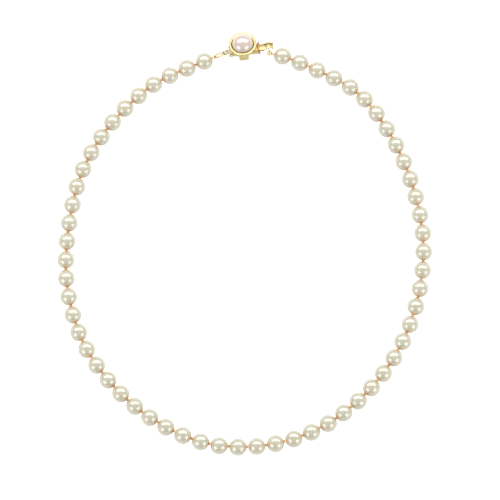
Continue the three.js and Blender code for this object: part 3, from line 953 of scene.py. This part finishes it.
def setting_pearl():
    """The large pearl, ground flat at its back round a blind hole for the peg."""
    start = math.asin((SET_PEARL_BACK - SET_PEARL_HEIGHT) / SET_PEARL_RADIUS)
    ease = 0.02
    profile = [(0, PEG_HOLE_TOP), (0.6, PEG_HOLE_TOP), (PEG_HOLE_RADIUS, 6.35),
               (PEG_HOLE_RADIUS, SET_PEARL_BACK + 0.1), (0.75, SET_PEARL_BACK)]
    for k in range(SET_PEARL_ROWS + 1):
        a = start + ease + (math.pi / 2 - start - ease) * k / SET_PEARL_ROWS
        profile.append((SET_PEARL_RADIUS * math.cos(a),
                        SET_PEARL_HEIGHT + SET_PEARL_RADIUS * math.sin(a)))
    profile[-1] = (0, SET_PEARL_HEIGHT + SET_PEARL_RADIUS)
    return lathe(profile, SET_PEARL_SEGMENTS)


clasp_piece("setting_pearl", setting_pearl(), rose_nacre, "clasp_box", "setting_pearl", "clasp_pearl",
            sharp=math.radians(60))

# ---------------------------------------------------------------- the tongue

TONGUE_HALF, TONGUE_TOP, TONGUE_THICK = 1.25, 2.2, 0.3
TONGUE_NOSE, TONGUE_END = -2.2, 8.5
NOSE_RADIUS = 0.35
LEAF_HALF, LEAF_THICK = 1.1, 0.25
LEAF_NOSE, LEAF_LENGTH = -1.6, 9.6
LEAF_LOW, LEAF_FALL, LEAF_BOW = 1.3, 0.22, 0.05
LEAF_STEPS = 18


def tongue_plate():
    """The upper leaf, folded under at its nose."""
    low = TONGUE_TOP - TONGUE_THICK
    outline = [(TONGUE_END, low), (TONGUE_END, TONGUE_TOP)]
    for k in range(BEND_STEPS + 1):
        a = math.radians(90 + 90 * k / BEND_STEPS)
        outline.append((TONGUE_NOSE + NOSE_RADIUS + NOSE_RADIUS * math.cos(a),
                        TONGUE_TOP - NOSE_RADIUS + NOSE_RADIUS * math.sin(a)))
    for inset, height in ((0, 1.42), (0.06, 1.33), (0.15, 1.3), (0.25, 1.34), (0.3, 1.42), (0.3, low)):
        outline.append((TONGUE_NOSE + inset, height))
    return soften(prism(outline, -TONGUE_HALF, TONGUE_HALF, "xzy"), width=0.05)


def spring_leaf():
    """The sprung lower leaf, bowed a little and falling towards its free end."""
    top, bottom = [], []
    for k in range(LEAF_STEPS + 1):
        t = k / LEAF_STEPS
        x = LEAF_NOSE + LEAF_LENGTH * t
        z = LEAF_LOW - LEAF_FALL * t + LEAF_BOW * math.sin(math.pi * t)
        top.append((x, z + LEAF_THICK))
        bottom.append((x, z))
    return soften(prism(bottom + top[::-1], -LEAF_HALF, LEAF_HALF, "xzy"), width=0.05)


THUMB_LINE = [(8.35, 1.95), (8.42, 2.3), (8.7, 2.7), (9.15, 2.93), (9.7, 2.98), (10.3, 2.86),
              (10.85, 2.5), (11.2, 2.0), (11.3, 1.65)]
THUMB_HALF, THUMB_THICK = 1.4, 0.26
THUMB_ROLL_RADIUS, THUMB_ROLL_INSET = 0.27, 0.42
RIB_MIDDLE, RIB_LENGTH, RIB_RADIUS, RIBS = -0.5, 1.75, 0.15, 6

thumb_line = smooth_line([(x, z, 0) for x, z in THUMB_LINE], 4)


def thumb_piece():
    """An arched saddle of sheet gold with a rolled back edge."""
    outline = [(p.x, p.y) for p in thumb_line]
    inner = []
    for k, p in enumerate(thumb_line):
        before, after = thumb_line[max(k - 1, 0)], thumb_line[min(k + 1, len(thumb_line) - 1)]
        along = (after - before).normalized()
        inner.append((p.x + THUMB_THICK * along.y, p.y - THUMB_THICK * along.x))
    saddle = prism(outline + inner[::-1], -THUMB_HALF, THUMB_HALF, "xzy")
    roll = [(p.x, THUMB_HALF - THUMB_ROLL_INSET, p.y + 0.02) for p in thumb_line[4:-4]]
    oval_section = [(u * 1.5, v) for u, v in round_section(THUMB_ROLL_RADIUS)]
    saddle = soften(saddle, width=0.06, angle=math.radians(60))
    return joined(saddle, sweep(roll, oval_section))


gold_piece("tongue_plate", tongue_plate(), "tongue", "tongue_plate")
gold_piece("spring_leaf", spring_leaf(), "spring_leaf", "tongue_spring_leaf",
           material=red_gold, slot="red_gold")
gold_piece("thumb_piece", thumb_piece(), "tongue", "tongue_thumb_piece")

rib_line = [CLASP @ Vector((p.x, RIB_MIDDLE, p.y + 0.03)) for p in thumb_line[7:-5]]
ribs = grown("thumb_ribs", path_object(rib_line), ribbed, {
    "Ribs": RIBS, "Rib radius": RIB_RADIUS * MM, "Rib length": RIB_LENGTH * MM,
    "Rib axis": tuple(clasp_y), "Finish": yellow_gold})
finish_piece("thumb_ribs", ribs, yellow_gold, "tongue", "gold")

END_RING_CENTRE, END_RING_RADIUS, END_RING_WIRE = (9.6, -2.55, 1.2), 0.75, 0.25
END_POST_RADIUS = 0.2
END_POST_LINE = [(9.6, -1.18, 2.85), (9.6, -1.24, 2.45), (9.6, -1.38, 1.95), (9.6, -1.56, 1.55),
                 (9.6, -1.74, 1.3), (9.6, -1.86, 1.2)]


def end_ring():
    """The ring for the silk, on a bent post that comes out from under the thumb piece."""
    ring = circle_path(END_RING_CENTRE, END_RING_RADIUS, RING_STEPS)
    return joined(sweep(ring, round_section(END_RING_WIRE), closed=True),
                  sweep(smooth_line(END_POST_LINE, 4), round_section(END_POST_RADIUS, 12)))


gold_piece("end_ring", end_ring(), "tongue", "tongue_end_ring")

# ---------------------------------------------------------------- links and thread loops


def along_pull(start, goal, lean):
    """The direction from one point to another, and a level side direction leant over about it."""
    pull = (goal - start).normalized()
    side = Vector((0, 0, 1)).cross(pull).normalized()
    return pull, Matrix.Rotation(math.radians(lean), 3, pull) @ side


def world_piece(name, bm, *nodes, body):
    return finish_piece(name, mesh_from(bm, name), yellow_gold, body, "gold", *nodes)


lug = CLASP @ Vector(LUG_CENTRE)
end_eye = CLASP @ Vector(END_RING_CENTRE)
first_pearl = pairs[1][0]
last_pearl = pairs[PAIRS][1]

JUMP_RING_RADIUS, JUMP_RING_WIRE, JUMP_RING_AT = 0.95 * MM, 0.2 * MM, 0.9 * MM
JUMP_RING_LEAN = -50
JUMP_RING_GAP = 2.5
JUMP_RING_START = (0.34, 0.94)  # where its cut lies, along the pull and to the side


def jump_ring():
    """A round ring of wire, cut through as such a ring is opened."""
    pull, side = along_pull(lug, first_pearl, JUMP_RING_LEAN)
    ahead, aside = JUMP_RING_START
    line = circle_path(lug + pull * JUMP_RING_AT, JUMP_RING_RADIUS, 60,
                       (pull * ahead + side * aside).normalized(),
                       (side * ahead - pull * aside).normalized(), gap=JUMP_RING_GAP)
    return soften(sweep(line, round_section(JUMP_RING_WIRE)), width=0.03 * MM, segments=2)


OVAL_LENGTH, OVAL_WIDTH, OVAL_WIRE, OVAL_NEAR = 3.9 * MM, 2.0 * MM, 0.3 * MM, 1.27 * MM
OVAL_LEAN = 50
OVAL_STEPS = 16


def oval_link():
    """A long link of wire, two half circles joined by straight sides."""
    pull, side = along_pull(lug, first_pearl, OVAL_LEAN)
    centre = lug + pull * (OVAL_NEAR + OVAL_LENGTH / 2)
    bend = OVAL_WIDTH / 2
    straight = OVAL_LENGTH / 2 - bend
    line = []
    for end in (1, -1):
        for k in range(OVAL_STEPS + 1):
            a = end * math.pi / 2 - math.pi * k / OVAL_STEPS
            along = pull * (end * straight + bend * math.cos(a))
            line.append(centre + along + side * bend * math.sin(a))
    return sweep(line, round_section(OVAL_WIRE, 16), closed=True)


world_piece("jump_ring_wire", jump_ring(), "jump_ring", body="jump_ring")
world_piece("oval_link_wire", oval_link(), "oval_link", body="oval_link")

SILK = {"Plies": 3, "Ply radius": 0.1 * MM, "Lay radius": 0.095 * MM, "Twists": 7.0, "Points": 150,
        "Finish": peach_silk}


def thread_loop(name, wire_at, bow, width, pearl_centre, lean, body, node):
    """A twisted silk loop that bows round a gold wire, with both legs running into the pearl."""
    pull, side = along_pull(wire_at, pearl_centre, lean)
    hole = (pearl_centre - wire_at).length - PEARL_RADIUS
    leg = [(-bow, 0), (-0.86 * bow, 0.55 * width), (-0.4 * bow, 0.92 * width), (0.12 * hole, width),
           (0.5 * hole, 0.74 * width), (0.85 * hole, 0.2 * MM), (hole + 0.12 * MM, 0.12 * MM),
           (hole + 0.5 * MM, 0.1 * MM)]
    plan = leg[::-1] + [(u, -v) for u, v in leg[1:]]
    line = smooth_line([wire_at + pull * u + side * v for u, v in plan], 6)
    loop = grown(name, path_object(line), plied, SILK)
    finish_piece(name, loop, peach_silk, body, "silk", node)


link_pull = (first_pearl - lug).normalized()
thread_loop("silk_loop_left", lug + link_pull * (OVAL_NEAR + OVAL_LENGTH), bow=0.58 * MM, width=0.6 * MM,
            pearl_centre=first_pearl, lean=-40, body="strand_01", node="thread_loop_left")
eye_pull = (last_pearl - end_eye).normalized()
thread_loop("silk_loop_right", end_eye + eye_pull * END_RING_RADIUS * MM, bow=0.81 * MM, width=0.72 * MM,
            pearl_centre=last_pearl, lean=60, body="strand_30", node="thread_loop_right")
